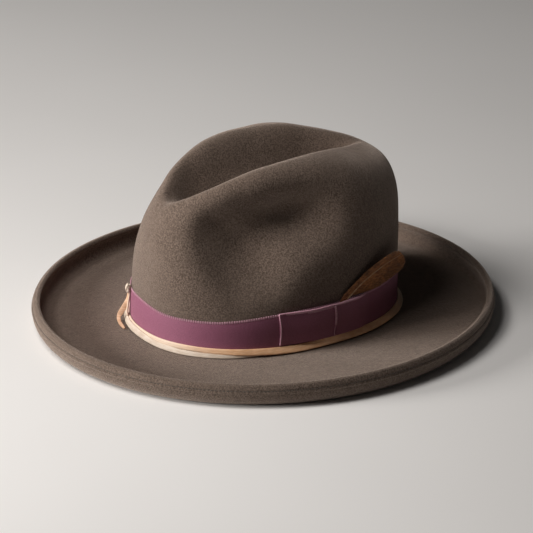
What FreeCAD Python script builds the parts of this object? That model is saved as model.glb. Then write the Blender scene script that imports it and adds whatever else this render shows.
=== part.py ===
"""Fur-felt fedora: pinched teardrop crown, pencil-curl brim, ribbon, leather lace and feather.

Frame: origin at the centre of the resting plane, +Z up, front of the hat along -Y,
wearer's left along +X.  The flat of the brim rests on z = 0.  All lengths are millimetres.
"""
import FreeCAD, Part
import os
from math import atan2, cos, exp, hypot, pi, radians, sin

V = FreeCAD.Vector
os.makedirs("parts", exist_ok=True)

# ---------------------------------------------------------------- driving dimensions
COLUMNS = 96                    # points round every closed ring

# head oval at the foot of the crown, measured on the outside of the felt
OVAL_LONG = 106.8               # half of the front-to-back length
OVAL_WIDE = 81.8                # half of the side-to-side width
OVAL_POWER = 2.3                # 2 is an ellipse, larger is squarer
TIP_POWER = 2.0                 # the oval rounds out to this at the top

CROWN_FOOT = 4.0                # height at which the crown wall starts
CROWN_HEIGHT = 138.4            # open crown above its foot, before creasing
CROWN_FELT = 2.2
TIP_PHI = radians(88.4)         # the flat spot in the middle of the crease
POWER_FRONT = 3.8               # how square the shoulder is, front, back and sides
POWER_BACK = 5.3
POWER_SIDE = 5.8
TAPER_FRONT = 0.026             # share of the oval lost by the top of the wall
TAPER_BACK = -0.114
TAPER_SIDE = 0.086
LEAN = -1.9                     # the top of the crown sits this far back of its foot

FRONT_DROP = 14.9               # the top slopes down towards the pinch
FRONT_DROP_START = -12.4
FRONT_DROP_POWER = 1.62
FRONT_END = -85.0
BACK_DROP = 10.5
BACK_DROP_START = 13.6
BACK_END = 100.0

CREASE_DEPTH = 37.2             # teardrop crease in the tip
CREASE_FRONT = -93.3
CREASE_BACK = 93.0
CREASE_HALF_WIDTH = 41.6
CREASE_SKEW = 0.817             # under 1 puts the widest place towards the front
CREASE_FULLNESS = 0.742

DENT_DEPTH = 30.5               # finger dent in each side of the pinch
DENT_AT = (-50.4, 86.0)         # y and z of its deepest place
DENT_TILT = 0.659               # it climbs towards the back
DENT_AHEAD = (30.8, 1.85)       # how far it reaches each way, and how sharply it ends there
DENT_BEHIND = (55.1, 1.30)
DENT_ABOVE = (39.4, 2.88)
DENT_BELOW = (30.8, 2.35)
HOLLOW_SHARE = 0.63             # hollow that carries the dent on under the ridge
HOLLOW_AT = (-5.9, 101.4)
HOLLOW_SIZE = (30.1, 19.5)

BRIM_LONG = 184.2               # half sizes of the brim's outline
BRIM_WIDE = 174.4
BRIM_FELT = 3.0
BRIM_BREAK = 5.0                # radius between crown wall and brim top
BREAK_UNDER = 8.5               # height of the rounding under the brim break
CURL_RADIUS = 10.8              # outside radius of the pencil curl
CURL_END = radians(38.5)        # the curl leans inward past upright by this angle
WELT_FELT = 4.6                 # folded edge, two layers of felt
STITCH_AT = radians(17.0)       # where the row of welt stitches runs round the curl

RIBBON_WIDTH = 25.0
RIBBON_FOOT = 9.0
RIBBON_TOP = RIBBON_FOOT + RIBBON_WIDTH
RIBBON_GAP = 0.25
RIBBON_THICK = 0.7
RIBBON_FACE = RIBBON_GAP + RIBBON_THICK
RIBBON_DIP = 3.6                # its top edge is drawn down by this at the front left
DIP_MIDDLE = -56.0              # degrees round the crown from straight left
DIP_HALF = 47.0
DIP_SOFT = 36.0

BOW_FOOT = 11.5                 # the lace runs just under it
BOW_TOP = RIBBON_TOP + 0.6
BOW_FRONT = -17.0               # degrees round the crown from straight left
BOW_SEAM = 7.5
BOW_END = 26.0
POCKET = 3.0                    # how far the bow stands off the ribbon round the quill

LACE_WIDTH = 3.8
LACE_THICK = 1.5
LACE_GAP = 0.25
UPPER_LACE_Z = 9.35
LOWER_LACE_Z = 5.3
LOWER_LACE_OUT = 2.95
LOWER_LACE_TURN = -25.0         # degrees: its lower edge stands out over the rounding

KNOT_THETA = 250.0              # degrees: just to the wearer's right of the front
KNOT_Z = 32.0
KNOT_HALF = (3.0, 2.2, 4.3)     # half sizes along the ribbon, out from it and up
RISER_HALF = 0.9                # degrees
RISER_LINE = [(11.6, 2.2), (15.0, 2.3), (19.0, 2.1), (23.0, 1.6), (27.0, 1.25)]     # height and standoff

# the loose end hangs from the knot, meets the brim and folds back along it
TAIL_RADIUS = 1.4
TAIL_ROUTE = [V(-32.4, -103.6, 27.4), V(-32.4, -104.5, 22.4), V(-33.0, -106.0, 17.6), V(-34.2, -108.1, 12.4),
              V(-35.2, -110.4, 7.4), V(-31.6, -112.1, 5.0), V(-25.4, -113.3, 4.7), V(-18.8, -114.2, 4.7)]

THREAD = 0.3                    # radius of sewing thread

SWEAT_FOOT = 0.9
SWEAT_TOP = 46.0
SWEAT_THICK = 1.1
SWEAT_STANDOFF = 1.0            # from the felt to the leather
SWEAT_FACE = -CROWN_FELT - SWEAT_STANDOFF
REED_RADIUS = 0.75
LINING_STANDOFF = 0.9
LINING_THICK = 0.4
LINING_SEAM = 47.0              # degrees up the crown, between the side and the tip

FEATHER_ANCHOR = (80.4, 29.2, 36.9)     # where the quill comes out over the ribbon
FEATHER_BACK_OFF = 7.0          # degrees the quill turns in from straight back
FEATHER_RISE = 36.8             # degrees the tucked quill rises
FEATHER_DROOP = 0.0041          # the shown shaft curves down by this times its length squared
FEATHER_TUCKED = 26.0
FEATHER_SHOWN = 55.5
UPPER_WEB = [(-6.0, 1.4), (-3.0, 5.2), (4.0, 4.9), (16.0, 5.3), (26.0, 5.9), (36.0, 6.0), (45.0, 6.3),
             (50.5, 6.2), (54.0, 4.2), (FEATHER_SHOWN, 0.9)]       # along the shaft and across from it
LOWER_WEB = [(2.0, -0.9), (6.0, -3.2), (12.5, -8.6), (18.5, -12.0), (25.0, -14.4), (33.0, -14.8),
             (42.0, -14.6), (48.5, -12.8), (53.0, -8.6), (FEATHER_SHOWN, -0.9)]
QUILL_BASE = 0.8
QUILL_TIP = 0.3
VANE_THICK = 0.8

THETAS = [2.0 * pi * i / COLUMNS for i in range(COLUMNS)]


# ---------------------------------------------------------------- small maths
def ease(t):
    """Smooth step from 0 at t <= 0 to 1 at t >= 1."""
    t = min(max(t, 0.0), 1.0)
    return t * t * (3.0 - 2.0 * t)


def mix(a, b, t):
    return a + (b - a) * t


def span(first, last, count):
    """count values from first to last, both ends included."""
    return [mix(first, last, i / (count - 1.0)) for i in range(count)]


# ---------------------------------------------------------------- crown form
def shoulder(theta):
    """Shoulder power and wall taper at one place round the crown."""
    front = max(-sin(theta), 0.0) ** 2
    back = max(sin(theta), 0.0) ** 2
    power = POWER_SIDE + (POWER_FRONT - POWER_SIDE) * front + (POWER_BACK - POWER_SIDE) * back
    taper = TAPER_SIDE * cos(theta) ** 2 + TAPER_FRONT * front + TAPER_BACK * back
    return power, taper


def oval_factor(theta, power):
    return (abs(cos(theta)) ** power + abs(sin(theta)) ** power) ** (-1.0 / power)


def tip_height(y, z, h):
    """Height of the uncreased tip, sloped to the front and to the back."""
    front = min(max((FRONT_DROP_START - y) / (FRONT_DROP_START - FRONT_END), 0.0), 1.3)
    back = ease((y - BACK_DROP_START) / (BACK_END - BACK_DROP_START))
    return z - h ** 3 * (FRONT_DROP * front ** FRONT_DROP_POWER + BACK_DROP * back)


def side_dent(x, y, z):
    """How far the side dents push the wall in."""
    dy, dz = y - DENT_AT[0], z - DENT_AT[1]
    along = dy * cos(DENT_TILT) + dz * sin(DENT_TILT)
    across = -dy * sin(DENT_TILT) + dz * cos(DENT_TILT)
    length, end = DENT_AHEAD if along < 0 else DENT_BEHIND
    height, lip = DENT_ABOVE if across > 0 else DENT_BELOW
    bowl = exp(-abs(along / length) ** end - abs(across / height) ** lip)
    hollow = exp(-((y - HOLLOW_AT[0]) / HOLLOW_SIZE[0]) ** 2
                 - ((z - HOLLOW_AT[1]) / HOLLOW_SIZE[1]) ** 2)
    return DENT_DEPTH * (bowl + HOLLOW_SHARE * hollow) * ease(abs(x) / 30.0)


def crease(x, y, h):
    """Depth of the teardrop crease at one point of the tip."""
    t = min(max((y - CREASE_FRONT) / (CREASE_BACK - CREASE_FRONT), 0.0), 1.0)
    half = CREASE_HALF_WIDTH * max(sin(pi * t ** CREASE_SKEW), 0.0) ** CREASE_FULLNESS + 0.001
    q = min(abs(x) / half, 1.0)
    ends = ease(t / 0.22) * ease((1.0 - t) / 0.3)
    return CREASE_DEPTH * 0.5 * (1.0 + cos(pi * q)) * ends * ease((h - 0.6) / 0.3)


def crown(theta, phi):
    """Outside of the felt crown: theta goes round it, phi climbs from foot to tip."""
    power, taper = shoulder(theta)
    scale = (cos(phi) ** power + sin(phi) ** power) ** (-1.0 / power)
    reach, h = cos(phi) * scale, sin(phi) * scale
    reach *= 1.0 - taper * h
    oval = oval_factor(theta, mix(OVAL_POWER, TIP_POWER, sin(phi)))
    x = OVAL_WIDE * cos(theta) * oval * reach
    y = OVAL_LONG * sin(theta) * oval * reach + LEAN * h
    z = tip_height(y, CROWN_FOOT + CROWN_HEIGHT * h, h)
    push = side_dent(x, y, z)
    x -= push if x > 0 else -push
    return V(x, y, z - crease(x, y, h))


def crown_normal(theta, phi):
    step = 0.002
    round_it = crown(theta + step, phi) - crown(theta - step, phi)
    up_it = crown(theta, min(phi + step, 1.56)) - crown(theta, phi - step)
    normal = round_it.cross(up_it)
    return normal.normalize()


def crown_ring(phi, depth=0.0):
    """Ring of the crown at phi, moved in by depth."""
    return [crown(t, phi) - crown_normal(t, phi) * depth for t in THETAS]


def level(points, z):
    return [V(p.x, p.y, z) for p in points]


def wall_point(theta, z):
    """Point of the crown wall at height z."""
    low, high = 0.0, radians(50.0)
    for _ in range(30):
        middle = 0.5 * (low + high)
        if crown(theta, middle).z < z:
            low = middle
        else:
            high = middle
    p = crown(theta, low)
    return V(p.x, p.y, z)


def wall_place(theta, z, out):
    """Point at height z, out from the crown wall along its level normal."""
    p = wall_point(theta, z)
    d = wall_point(theta + 0.01, z) - wall_point(theta - 0.01, z)
    size = hypot(d.x, d.y)
    return V(p.x + out * d.y / size, p.y - out * d.x / size, z)


def wall_ring(z, out):
    return [wall_place(t, z, out) for t in THETAS]


def brim_ring(inset, z):
    """Ring inside the brim's outline by inset."""
    ring = []
    for t in THETAS:
        nx, ny = cos(t) / BRIM_WIDE, sin(t) / BRIM_LONG
        size = hypot(nx, ny)
        ring.append(V(BRIM_WIDE * cos(t) - inset * nx / size, BRIM_LONG * sin(t) - inset * ny / size, z))
    return ring


# ---------------------------------------------------------------- faces and solids
def knots(count, degree):
    """Clamped uniform knots and multiplicities for count poles."""
    inner = count - degree
    return list(range(inner + 1)), [degree + 1] + [1] * (inner - 1) + [degree + 1]


def closed_skin(rings):
    """Face over rings of equal length, closed round theta."""
    degree = min(3, len(rings) - 1)
    rows = [[ring[i] for ring in rings] for i in range(len(rings[0]))]
    across, across_mults = knots(len(rings), degree)
    surface = Part.BSplineSurface()
    surface.buildFromPolesMultsKnots(rows, [1] * (len(rows) + 1), across_mults,
                                     list(range(len(rows) + 1)), across, True, False, 3, degree)
    return surface.toShape()


def open_skin(rows):
    """Face over a grid of points."""
    u_degree, v_degree = min(3, len(rows) - 1), min(3, len(rows[0]) - 1)
    u_knots, u_mults = knots(len(rows), u_degree)
    v_knots, v_mults = knots(len(rows[0]), v_degree)
    surface = Part.BSplineSurface()
    surface.buildFromPolesMultsKnots(rows, u_mults, v_mults, u_knots, v_knots,
                                     False, False, u_degree, v_degree)
    return surface.toShape()


def ring_curve(ring):
    curve = Part.BSplineCurve()
    curve.buildFromPolesMultsKnots(ring, [1] * (len(ring) + 1), list(range(len(ring) + 1)), True, 3)
    return Part.Wire(curve.toShape())


def flat_cap(ring):
    return Part.Face(ring_curve(ring))


def flat_annulus(outer, inner):
    return Part.makeFace([ring_curve(outer), ring_curve(inner)], "Part::FaceMakerBullseye")


def to_solid(faces):
    """Sew faces that share their edges into one solid."""
    shell = Part.makeShell(faces)
    shell.sewShape()
    solid = Part.makeSolid(Part.Shell(shell.Faces))
    if solid.Volume < 0:
        solid.reverse()
    return solid


def band_solid(corners):
    """Ring solid whose section is a polygon: corners are rings, or lists of rings for curved sides."""
    faces = []
    for i, side in enumerate(corners):
        following = corners[(i + 1) % len(corners)][0]
        faces.append(closed_skin(side + [following]))
    return to_solid(faces)


def thread_solid(place, radius):
    """Ring of eight-sided section: place(across, out) gives the ring beside its centre line."""
    angles = span(0.0, 2.0 * pi, 9)[:-1]
    return band_solid([[place(radius * sin(a), radius * cos(a))] for a in angles])


def strap_solid(place, wide, thick, turn=0.0):
    """Ring of flat leather with its edges taken off; turn leans the section outward."""
    edge = 0.25 * thick
    corners = []
    for across, out in ((0.5 * wide, 0.5 * thick - edge), (0.5 * wide - edge, 0.5 * thick)):
        corners += [(across, out), (-across, out), (-across, -out), (across, -out)]
    corners.sort(key=lambda c: atan2(c[1], c[0]))
    rings = []
    for across, out in corners:
        turned = across * cos(turn) - out * sin(turn), across * sin(turn) + out * cos(turn)
        rings.append([[place(t, *turned) for t in THETAS]])
    return band_solid(rings)


def slab(outer, inner):
    """Solid between two grids of points of the same shape."""
    faces = [open_skin(outer), open_skin(inner)]
    faces.append(open_skin([outer[0], inner[0]]))
    faces.append(open_skin([outer[-1], inner[-1]]))
    faces.append(open_skin([[row[0] for row in outer], [row[0] for row in inner]]))
    faces.append(open_skin([[row[-1] for row in outer], [row[-1] for row in inner]]))
    return to_solid(faces)


def save(name, *solids):
    shape = solids[0] if len(solids) == 1 else Part.makeCompound(list(solids))
    shape.exportStep("parts/%s.step" % name)
    size = shape.BoundBox
    print("%-20s valid %s solids %3d  volume %9.1f  z %6.1f to %6.1f"
          % (name, shape.isValid(), len(shape.Solids), shape.Volume, size.ZMin, size.ZMax))
    return shape


# ---------------------------------------------------------------- felt body
def curl_point(angle, radius):
    """Inset from the brim's outline and height of a point on the curl."""
    return CURL_RADIUS - radius * cos(angle), CURL_RADIUS + radius * sin(angle)


def curl_rings():
    """Inside of the curl, over its folded edge and down its outside to the resting plane."""
    rings = []
    for angle in span(radians(-90.0), CURL_END, 9):
        layer = mix(BRIM_FELT, WELT_FELT, ease((angle + radians(70.0)) / radians(70.0)))
        rings.append(brim_ring(*curl_point(angle, CURL_RADIUS - layer)))
    middle = CURL_RADIUS - 0.5 * WELT_FELT
    for beta in span(radians(30.0), radians(150.0), 5):
        radial = middle - 0.5 * WELT_FELT * cos(beta)
        ahead = 0.5 * WELT_FELT * sin(beta)
        inset = CURL_RADIUS - radial * cos(CURL_END) + ahead * sin(CURL_END)
        rings.append(brim_ring(inset, CURL_RADIUS + radial * sin(CURL_END) + ahead * cos(CURL_END)))
    for angle in span(CURL_END, radians(-90.0), 10):
        rings.append(brim_ring(*curl_point(angle, CURL_RADIUS)))
    return rings


def brim_top_rings():
    """Rounding at the foot of the crown, then the flat of the brim as far as the curl."""
    top = BRIM_FELT + BRIM_BREAK
    rings = []
    for a in span(0.0, 0.5 * pi, 6):
        out = BRIM_BREAK * (1.0 - cos(a))
        rings.append(level(wall_ring(top, out), top - BRIM_BREAK * sin(a)))
    start, end = rings[-1], brim_ring(CURL_RADIUS, BRIM_FELT)
    for t in (0.12, 0.35, 0.62, 0.88):
        rings.append([mix(p, q, t) for p, q in zip(start, end)])
    return rings


def felt_body():
    """One piece of felt: crown, brim and the welted curl at the brim's edge."""
    foot_phi = radians(5.0)
    tip = crown_ring(TIP_PHI)
    tip_z = sum(p.z for p in tip) / COLUMNS
    outside = [level(tip, tip_z)]
    outside += [crown_ring(phi) for phi in span(radians(85.5), foot_phi, 34)]
    outside += brim_top_rings() + curl_rings()

    break_end = level(wall_ring(BRIM_FELT + BRIM_BREAK, BRIM_BREAK), 0.0)
    inside = []
    for a in span(0.5 * pi, 0.0, 6):
        out = BRIM_BREAK - (BRIM_BREAK + CROWN_FELT) * cos(a)
        z = BREAK_UNDER * (1.0 - sin(a))
        inside.append(level(wall_ring(BREAK_UNDER, out), z))
    inside[0] = break_end
    inside += [crown_ring(phi, CROWN_FELT) for phi in span(radians(5.5), radians(85.5), 34)]
    inside.append(level(tip, tip_z - CROWN_FELT))

    faces = [closed_skin(outside), flat_annulus(outside[-1], break_end), closed_skin(inside)]
    faces += [flat_cap(outside[0]), flat_cap(inside[-1])]
    return to_solid(faces)


def welt_thread():
    """Row of stitches round the outside of the curl, as one thin thread."""
    inset, z = curl_point(STITCH_AT, CURL_RADIUS + THREAD + 0.05)
    return thread_solid(lambda across, out: brim_ring(inset - out, z + across), THREAD)


# ---------------------------------------------------------------- ribbon and bow
def ribbon_top(theta):
    """Height of the ribbon's top edge."""
    away = (theta * 180.0 / pi - DIP_MIDDLE + 180.0) % 360.0 - 180.0
    return RIBBON_TOP - RIBBON_DIP * ease((DIP_HALF - abs(away)) / DIP_SOFT)


def ribbon_band():
    shares = span(0.0, 1.0, 6)

    def rings(out):
        return [[wall_place(t, mix(RIBBON_FOOT, ribbon_top(t), share), out) for t in THETAS]
                for share in shares]

    outer, inner = rings(RIBBON_FACE), rings(RIBBON_GAP)[::-1]
    return band_solid([outer[:-1], [outer[-1]], inner[:-1], [inner[-1]]])


def panel(theta_from, theta_to, z_low, z_high, stand, thick, columns=14):
    """Strip on the ribbon: stand(theta) is how far its inner face is from the ribbon."""
    thetas = span(radians(theta_from), radians(theta_to), columns)
    heights = span(z_low, z_high, 5)
    outer, inner = [], []
    for t in thetas:
        face = RIBBON_FACE + stand(t)
        inner.append([wall_place(t, z, face) for z in heights])
        outer.append([wall_place(t, z, face + thick) for z in heights])
    return slab(outer, inner)


def bow_stand(theta):
    """The bow lies on the ribbon at its front edge and opens into a pocket for the quill."""
    degrees = theta * 180.0 / pi
    opening = ease((degrees - BOW_FRONT - 2.0) / 16.0)
    return 0.25 + (POCKET - 0.25) * opening


def bow_panel():
    return panel(BOW_FRONT, BOW_SEAM, BOW_FOOT, BOW_TOP, bow_stand, RIBBON_THICK)


def bow_tail():
    """End of the bow's ribbon, from the seam back to where it is tucked under the band."""
    def stand(theta):
        closing = ease((theta * 180.0 / pi - BOW_END + 7.0) / 7.0)
        return mix(POCKET, 0.9, closing)
    return panel(BOW_SEAM + 0.4, BOW_END, BOW_FOOT, BOW_TOP, stand, RIBBON_THICK, 12)


def bow_stitches():
    """Row of tacking stitches down the seam of the bow."""
    stitches = []
    for z in span(BOW_FOOT + 0.8, BOW_TOP - 1.0, 12):
        centre = wall_place(radians(BOW_SEAM), z, RIBBON_FACE + POCKET + RIBBON_THICK + THREAD + 0.05)
        stitches.append(Part.makeSphere(0.9 * THREAD, centre))
    return stitches


# ---------------------------------------------------------------- leather lace
def lace_place(z_centre, out_centre):
    def place(theta, across, out):
        return level([wall_place(theta, 9.0, out_centre + out)], z_centre + across)[0]
    return place


def lace_upper():
    out = RIBBON_FACE + LACE_GAP + 0.5 * LACE_THICK
    return strap_solid(lace_place(UPPER_LACE_Z, out), LACE_WIDTH, LACE_THICK)


def lace_lower():
    """Lower turn, leaning back over the rounding at the foot of the crown."""
    place = lace_place(LOWER_LACE_Z, LOWER_LACE_OUT)
    return strap_solid(place, LACE_WIDTH, LACE_THICK, radians(LOWER_LACE_TURN))


def lace_riser():
    """End of the upper turn, brought up over the ribbon to the knot."""
    thetas = span(radians(KNOT_THETA - RISER_HALF), radians(KNOT_THETA + RISER_HALF), 4)
    outer, inner = [], []
    for t in thetas:
        inner.append([wall_place(t, z, out) for z, out in RISER_LINE])
        outer.append([wall_place(t, z, out + LACE_THICK) for z, out in RISER_LINE])
    return slab(outer, inner)


def lace_knot():
    """Hard little knot at the top edge of the ribbon."""
    centre = wall_place(radians(KNOT_THETA), KNOT_Z, RIBBON_FACE + 0.3 + KNOT_HALF[1])
    shape = Part.makeSphere(1.0)
    squash = FreeCAD.Matrix()
    squash.scale(*KNOT_HALF)
    shape = shape.transformGeometry(squash)
    beside = wall_place(radians(KNOT_THETA + 1.0), KNOT_Z, RIBBON_FACE + 0.3 + KNOT_HALF[1])
    tangent = beside - centre
    shape.rotate(V(0, 0, 0), V(0, 0, 1), atan2(tangent.y, tangent.x) * 180.0 / pi)
    shape.translate(centre)
    return shape


def rounded_path(points):
    """Straight runs joined by tangent arcs, each as large as its two runs allow."""
    edges, start, radii = [], points[0], []
    for before, corner, after in zip(points, points[1:], points[2:]):
        back, ahead = before - corner, after - corner
        reach = 0.45 * min(back.Length, ahead.Length)
        turn = pi - back.getAngle(ahead)
        first = corner + V(back).normalize() * reach
        last = corner + V(ahead).normalize() * reach
        bisector = (V(back).normalize() + V(ahead).normalize()).normalize()
        radius = reach / sin(0.5 * turn) * cos(0.5 * turn)
        to_centre = hypot(radius, reach)
        middle = corner + bisector * (to_centre - radius)
        edges.append(Part.LineSegment(start, first).toShape())
        edges.append(Part.Arc(first, middle, last).toShape())
        radii.append(round(radius, 1))
        start = last
    edges.append(Part.LineSegment(start, points[-1]).toShape())
    return Part.Wire(edges), radii


def lace_tail():
    path, radii = rounded_path(TAIL_ROUTE)
    along = (TAIL_ROUTE[1] - TAIL_ROUTE[0]).normalize()
    ring = Part.Wire(Part.makeCircle(TAIL_RADIUS, TAIL_ROUTE[0], along))
    tube = path.makePipeShell([ring], True, True)
    print("lace tail: length %.1f, bend radii %s, volume over section times length %.3f"
          % (path.Length, radii, tube.Volume / (pi * TAIL_RADIUS ** 2 * path.Length)))
    return tube


# ---------------------------------------------------------------- feather
def feather_frame():
    """Where the quill leaves the bow, its direction, and the directions across the vane."""
    turn, rise = radians(FEATHER_BACK_OFF), radians(FEATHER_RISE)
    axis = V(-sin(turn) * cos(rise), cos(turn) * cos(rise), sin(rise))
    outward = V(cos(turn), sin(turn), 0.0)
    upward = outward.cross(axis)
    upward.normalize()
    return V(*FEATHER_ANCHOR), axis, outward, upward


def on_feather(along, across):
    """Place on the feather: along its shaft and across its vane."""
    anchor, axis, _, upward = feather_frame()
    droop = FEATHER_DROOP * max(along, 0.0) ** 2
    return anchor + axis * along + upward * (across - droop)


def feather_quill():
    """Round tapering shaft, straight where it is tucked in."""
    _, axis, outward, upward = feather_frame()
    rings = []
    for along in span(-FEATHER_TUCKED, FEATHER_SHOWN - 2.0, 16):
        radius = mix(QUILL_BASE, QUILL_TIP, (along + FEATHER_TUCKED) / (FEATHER_TUCKED + FEATHER_SHOWN))
        turns = span(0.0, 2.0 * pi, 17)[:-1]
        rings.append([on_feather(along, radius * sin(a)) + outward * (radius * cos(a)) for a in turns])
    skin = closed_skin(rings)
    return to_solid([skin, flat_cap(rings[0]), flat_cap(rings[-1])])


def feather_vane():
    """Flat vane: each web is a plate against its side of the shaft, from the shaft to the web's edge."""
    _, _, outward, _ = feather_frame()
    webs = []
    for outline, side in ((UPPER_WEB, 1.0), (LOWER_WEB, -1.0)):
        edge = Part.BSplineCurve()
        edge.interpolate([on_feather(*place) for place in outline])
        root = [on_feather(along, side * 0.9) for along, _ in outline]
        shaft_side = Part.BSplineCurve()
        shaft_side.interpolate(root)
        tips = (on_feather(*outline[0]), root[0]), (on_feather(*outline[-1]), root[-1])
        ends = [Part.makeLine(p, q) for p, q in tips if p.distanceToPoint(q) > 0.01]
        face = Part.Face(Part.Wire(Part.__sortEdges__([edge.toShape(), shaft_side.toShape()] + ends)))
        face.translate(outward * (-0.5 * VANE_THICK))
        webs.append(face.extrude(outward * VANE_THICK))
    return webs


# ---------------------------------------------------------------- inside of the hat
def inner_band(z_low, z_high, out, thick, rows=5):
    """Band inside the crown wall: out is its outer face, negative inward."""
    heights = span(z_low, z_high, rows)
    outer = [wall_ring(z, out) for z in heights]
    inner = [wall_ring(z, out - thick) for z in reversed(heights)]
    return band_solid([outer[:-1], [outer[-1]], inner[:-1], [inner[-1]]])


def thread_ring(z, out, radius):
    return thread_solid(lambda up, beside: wall_ring(z + up, out + beside), radius)


def sweatband():
    return inner_band(SWEAT_FOOT, SWEAT_TOP, SWEAT_FACE, SWEAT_THICK, 12)


def reed_tape():
    """Cloth tape that carries the reed behind the foot of the leather."""
    return inner_band(3.6, 11.0, -CROWN_FELT - 0.3, 0.4, 3)


def sweatband_reed():
    """Thin flexible rod sewn along the foot of the sweatband."""
    return thread_ring(2.2, SWEAT_FACE + REED_RADIUS + 0.15, REED_RADIUS)


def sweatband_thread():
    return thread_ring(4.4, SWEAT_FACE - SWEAT_THICK - THREAD - 0.25, THREAD)


def lining(phi_from, phi_to, rows):
    """Satin skin inside the felt between two heights; the tip closes it."""
    depth = CROWN_FELT + LINING_STANDOFF
    phis = span(radians(phi_from), radians(phi_to), rows)
    outer = [crown_ring(phi, depth) for phi in phis]
    inner = [crown_ring(phi, depth + LINING_THICK) for phi in phis]
    return outer, inner


def lining_side():
    outer, inner = lining(13.8, LINING_SEAM, 14)
    inner.reverse()
    return band_solid([outer[:-1], [outer[-1]], inner[:-1], [inner[-1]]])


def lining_tip():
    """Oval tip of the lining, closed by a flat spot under the crease."""
    outer, inner = lining(LINING_SEAM + 0.5, 86.0, 18)
    z = sum(p.z for p in crown_ring(TIP_PHI)) / COLUMNS - CROWN_FELT - LINING_STANDOFF
    outer.append(level(crown_ring(TIP_PHI), z))
    inner.append(level(crown_ring(TIP_PHI), z - LINING_THICK))
    faces = [closed_skin(outer), closed_skin(inner), closed_skin([outer[0], inner[0]])]
    faces += [flat_cap(outer[-1]), flat_cap(inner[-1])]
    return to_solid(faces)


def lining_piping():
    """Thin cord sewn into the seam between the side and the tip of the lining."""
    phi = radians(LINING_SEAM + 0.25)
    depth = CROWN_FELT + LINING_STANDOFF + LINING_THICK + 0.75
    def place(across, out):
        return [p + V(0, 0, across) for p in crown_ring(phi, depth - out)]
    return thread_solid(place, 0.55)


def inside_strip(theta_from, theta_to, z_low, z_high, out, thick):
    """Small strip on the inside of the crown wall."""
    thetas = span(radians(theta_from), radians(theta_to), 5)
    heights = span(z_low, z_high, 4)
    outer = [[wall_place(t, z, out) for z in heights] for t in thetas]
    inner = [[wall_place(t, z, out - thick) for z in heights] for t in thetas]
    return slab(outer, inner)


def sweatband_bow():
    """Small ribbon bow on the back seam of the leather: two loops and a knot."""
    face = SWEAT_FACE - SWEAT_THICK - 0.1
    left = inside_strip(85.2, 89.2, 7.0, 12.0, face, 1.2)
    right = inside_strip(90.8, 94.8, 7.0, 12.0, face, 1.2)
    knot = inside_strip(89.3, 90.7, 7.8, 11.2, face, 1.8)
    return [left, right, knot]


def size_tab():
    """Blank cloth tab tucked behind the sweatband at the wearer's right."""
    return inside_strip(176.0, 184.0, 34.0, 52.0, SWEAT_FACE + 0.35, 0.25)


# ---------------------------------------------------------------- write the sub-parts
if __name__ == "__main__":
    save("felt_body", felt_body())
    save("welt_thread", welt_thread())
    save("ribbon_band", ribbon_band())
    save("bow_panel", bow_panel())
    save("bow_tail", bow_tail())
    save("bow_stitches", *bow_stitches())
    save("lace_upper", lace_upper())
    save("lace_lower", lace_lower())
    save("lace_riser", lace_riser())
    save("lace_knot", lace_knot())
    save("lace_tail", lace_tail())
    save("feather_quill", feather_quill())
    save("feather_vane", *feather_vane())
    save("sweatband", sweatband())
    save("sweatband_reed", sweatband_reed())
    save("reed_tape", reed_tape())
    save("sweatband_thread", sweatband_thread())
    save("sweatband_bow", *sweatband_bow())
    save("size_tab", size_tab())
    save("lining_side", lining_side())
    save("lining_tip", lining_tip())
    save("lining_piping", lining_piping())
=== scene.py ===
from math import cos, degrees, pi, radians, sin

import bmesh
import bpy
import numpy as np
from mathutils import Matrix, Vector


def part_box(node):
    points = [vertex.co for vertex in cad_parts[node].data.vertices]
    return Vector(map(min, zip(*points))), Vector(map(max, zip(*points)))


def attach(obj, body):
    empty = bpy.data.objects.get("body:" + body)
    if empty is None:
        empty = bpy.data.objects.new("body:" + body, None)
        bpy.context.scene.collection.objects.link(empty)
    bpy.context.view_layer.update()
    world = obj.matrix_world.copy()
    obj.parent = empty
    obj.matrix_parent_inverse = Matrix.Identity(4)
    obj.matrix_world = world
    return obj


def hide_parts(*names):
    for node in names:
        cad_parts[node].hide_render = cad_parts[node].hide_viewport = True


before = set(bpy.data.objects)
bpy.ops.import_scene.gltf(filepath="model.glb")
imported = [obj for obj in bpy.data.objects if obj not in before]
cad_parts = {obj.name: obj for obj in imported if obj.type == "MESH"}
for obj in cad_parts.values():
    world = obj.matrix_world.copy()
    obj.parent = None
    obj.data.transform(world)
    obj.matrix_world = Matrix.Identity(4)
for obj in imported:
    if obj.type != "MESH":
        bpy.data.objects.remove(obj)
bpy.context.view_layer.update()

# Every length below is in millimetres, and mesh() turns it into metres.
# The frame is the CAD's: front of the hat along -Y, wearer's left along +X, +Z up.
MM = 0.001

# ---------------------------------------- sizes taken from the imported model
def node_box(node):
    return [np.array(corner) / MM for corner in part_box(node)]


def node_heights(node):
    return [corner[2] for corner in node_box(node)]


BRIM_WIDE, BRIM_LONG = node_box("felt_body")[1][:2]
RIBBON_FOOT, RIBBON_TOP = node_heights("ribbon_band")
BOW_FOOT, BOW_TOP = node_heights("bow_panel")
SWEAT_FOOT, SWEAT_TOP = node_heights("sweatband")

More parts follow.
